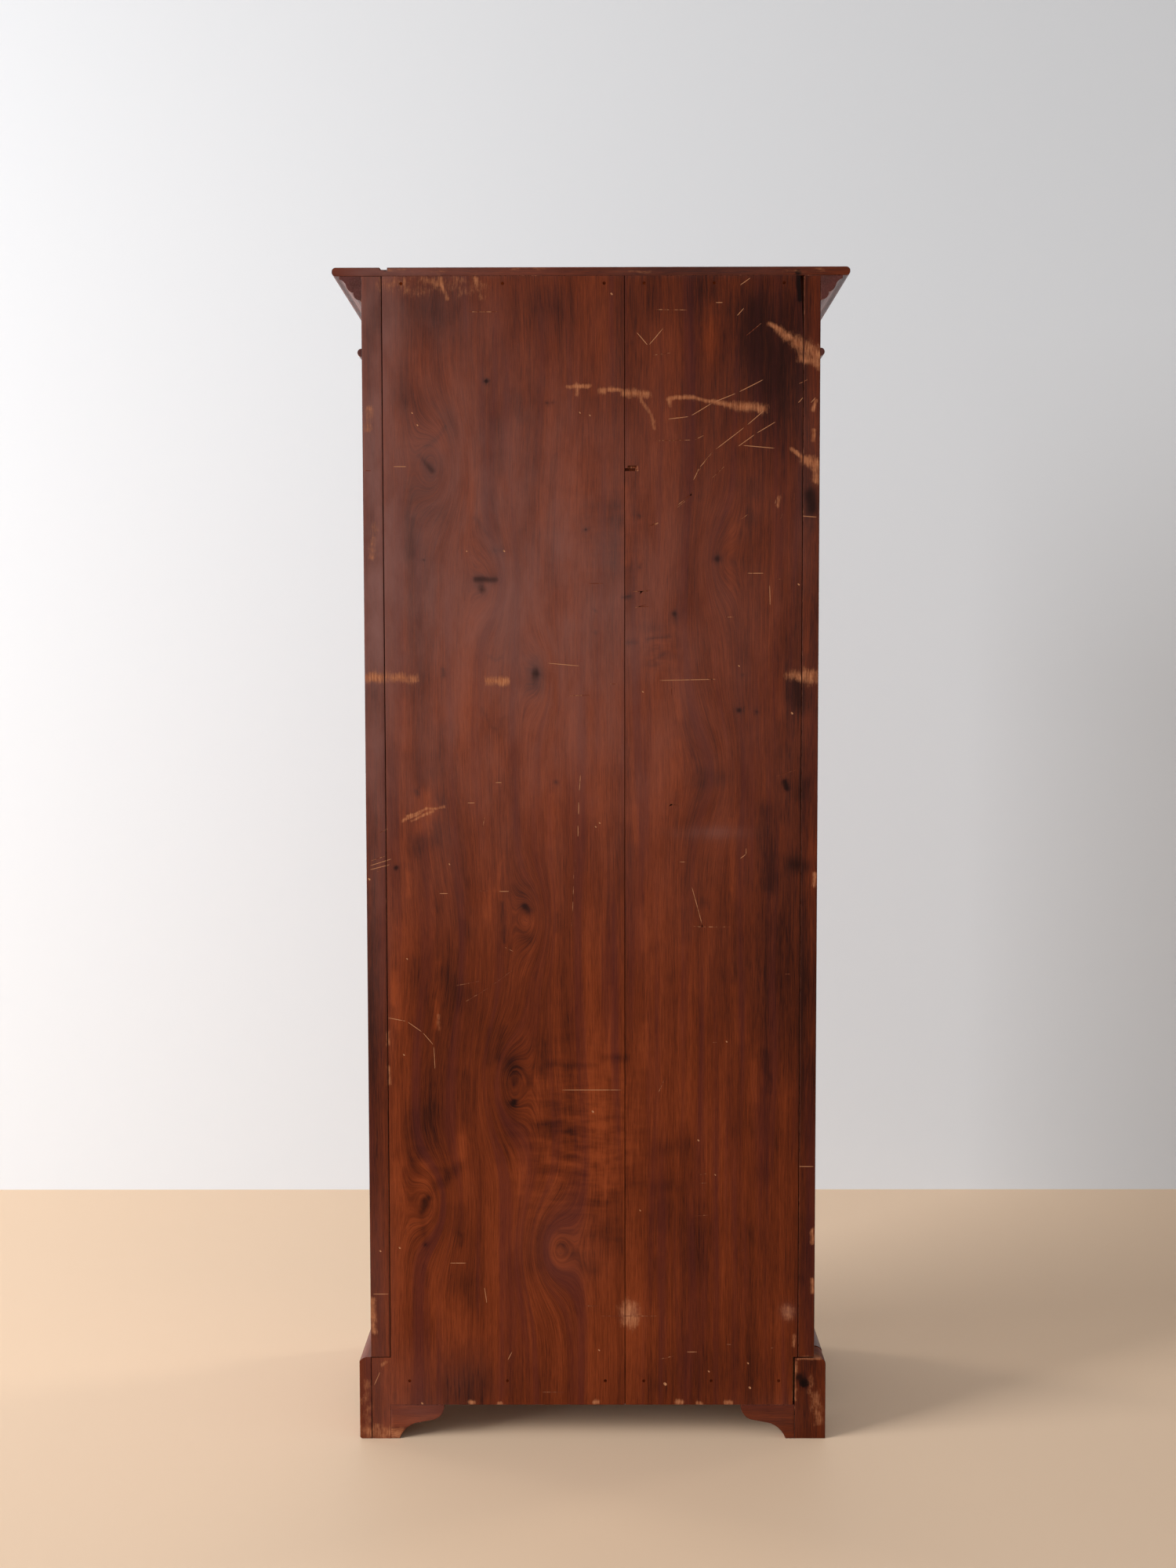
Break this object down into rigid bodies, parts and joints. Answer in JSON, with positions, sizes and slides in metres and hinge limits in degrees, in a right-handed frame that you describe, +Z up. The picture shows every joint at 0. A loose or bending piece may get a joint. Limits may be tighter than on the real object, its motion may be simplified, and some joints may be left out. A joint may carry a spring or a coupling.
{
  "type": "glazed cabinet",
  "caption": "Tall free-standing cabinet with a moulded cornice, a glazed door on butt hinges with lock and key, loose shelves inside and a plinth on bracket feet.",
  "frame": {"origin": "on the floor, under the middle of the cabinet's overall box", "axes": "+X to the right seen from the front, +Y from the front to the back, +Z up"},
  "size_m": [0.778, 0.394, 1.8],
  "materials": {
    "mahogany_polished": "polished red-brown mahogany",
    "mahogany_back": "worn and scratched stained mahogany",
    "pine_raw": "raw pine darkened by age",
    "brass": "dull brass",
    "iron": "dark iron",
    "glass": "clear old glass"
  },
  "bodies": {
    "carcass": {"back_board_left": "mahogany_back", "back_board_right": "mahogany_back", "back_nails": "iron", "bead_front": "mahogany_polished", "bead_left": "mahogany_polished", "bead_right": "mahogany_polished", "bearer_front": "pine_raw", "bearer_left": "pine_raw", "bearer_rear": "pine_raw", "bearer_right": "pine_raw", "bottom_board": "pine_raw", "cornice_front": "mahogany_polished", "cornice_left": "mahogany_polished", "cornice_right": "mahogany_polished", "door_stop": "mahogany_polished", "foot_blocks": "pine_raw", "frieze_board": "mahogany_polished", "front_stile_left": "mahogany_polished", "front_stile_right": "mahogany_polished", "head_rail": "mahogany_polished", "hinge_frame_leaves": "brass", "hinge_frame_screws": "brass", "hinge_pins": "brass", "plinth_front": "mahogany_polished", "plinth_left": "mahogany_polished", "plinth_right": "mahogany_polished", "rear_bracket_left": "mahogany_back", "rear_bracket_right": "mahogany_back", "rear_post_left": "mahogany_back", "shelf_1": "mahogany_polished", "shelf_2": "mahogany_polished", "shelf_3": "mahogany_polished", "shelf_bearers": "pine_raw", "shelf_strip_front_left": "pine_raw", "shelf_strip_front_right": "pine_raw", "shelf_strip_rear_left": "pine_raw", "shelf_strip_rear_right": "pine_raw", "side_left": "mahogany_polished", "side_right": "mahogany_polished", "sill_rail": "mahogany_polished", "top_board": "mahogany_polished", "top_rail_front": "pine_raw", "top_rail_rear": "pine_raw"},
    "door": {"door_stile_hinge": "mahogany_polished", "door_stile_lock": "mahogany_polished", "door_rail_top": "mahogany_polished", "door_rail_bottom": "mahogany_polished", "glazing_bar_upright": "mahogany_polished", "glazing_bars_cross": "mahogany_polished", "glass_panes": "glass", "glazing_strips": "mahogany_polished", "hinge_door_leaves": "brass", "hinge_door_screws": "brass", "lock_case": "brass", "lock_cap": "brass", "lock_screws": "brass", "escutcheon": "brass"},
    "key": {"key": "iron"},
    "bolt": {"lock_bolt": "brass"}
  },
  "joints": [
    {"name": "door_hinge", "type": "hinge", "parent": "carcass", "child": "door", "pos_m": [-0.29225, -0.158, 0.8995], "axis": [0, 0, -1], "range_deg": [0, 170]},
    {"name": "key_turn", "type": "hinge", "parent": "door", "child": "key", "pos_m": [0.2675, -0.1425, 0.8995], "axis": [0, 1, 0], "range_deg": [0, 180]},
    {"name": "bolt_slide", "type": "slide", "parent": "door", "child": "bolt", "axis": [1, 0, 0], "range_m": [0, 0.009]}
  ],
  "couplings": [
    {"joint": "key_turn", "follows": "bolt_slide", "rad_per_m": 349.07}
  ]
}
